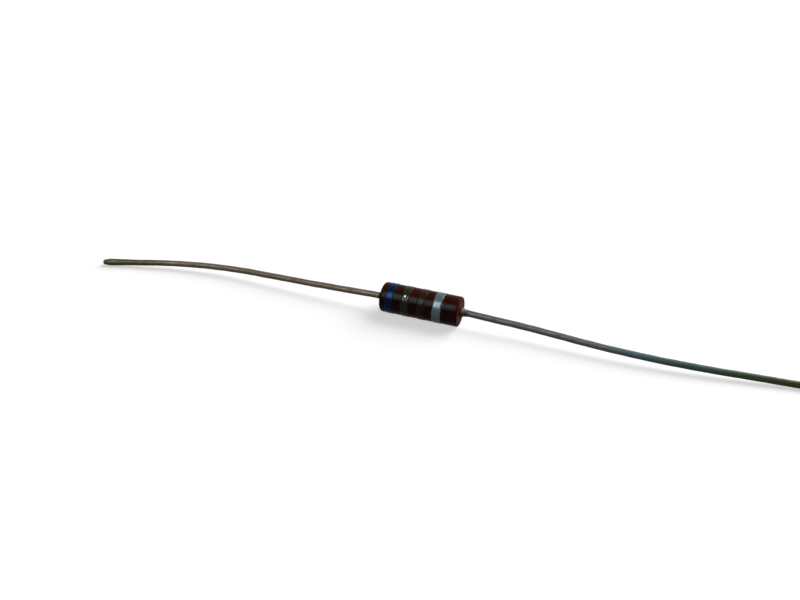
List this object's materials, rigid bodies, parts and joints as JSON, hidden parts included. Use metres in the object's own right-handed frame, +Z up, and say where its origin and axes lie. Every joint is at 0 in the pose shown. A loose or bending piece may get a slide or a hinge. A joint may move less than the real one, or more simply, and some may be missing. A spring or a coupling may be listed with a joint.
{
  "type": "axial resistor",
  "caption": "Moulded carbon composition resistor with painted colour bands and long wire leads, lying on a surface with its leads bent as found.",
  "frame": {"origin": "middle of the moulded jacket, on its axis, 1.81 mm above the surface that the part lies on", "axes": "+X along the body's axis, from the first band toward the end with no band; +Z up from the surface that the part lies on; +Y completes the frame, toward the side that the right lead's end bends to"},
  "size_m": [0.0853, 0.0052, 0.0036],
  "materials": {
    "jacket_phenolic": "dark red-brown moulded phenolic with a soft sheen",
    "carbon_composition": "black moulded carbon composition",
    "tinned_wire": "dull grey tinned copper wire, tarnished",
    "blue_paint": "blue band paint",
    "grey_paint": "grey band paint",
    "brown_paint": "brown band paint",
    "silver_paint": "silver band paint with metal flake"
  },
  "bodies": {
    "root": {"insulating_jacket": "jacket_phenolic", "resistive_element": "carbon_composition", "left_lead": "tinned_wire", "right_lead": "tinned_wire", "first_digit_band": "blue_paint", "second_digit_band": "grey_paint", "multiplier_band": "brown_paint", "tolerance_band": "silver_paint"}
  },
  "joints": []
}
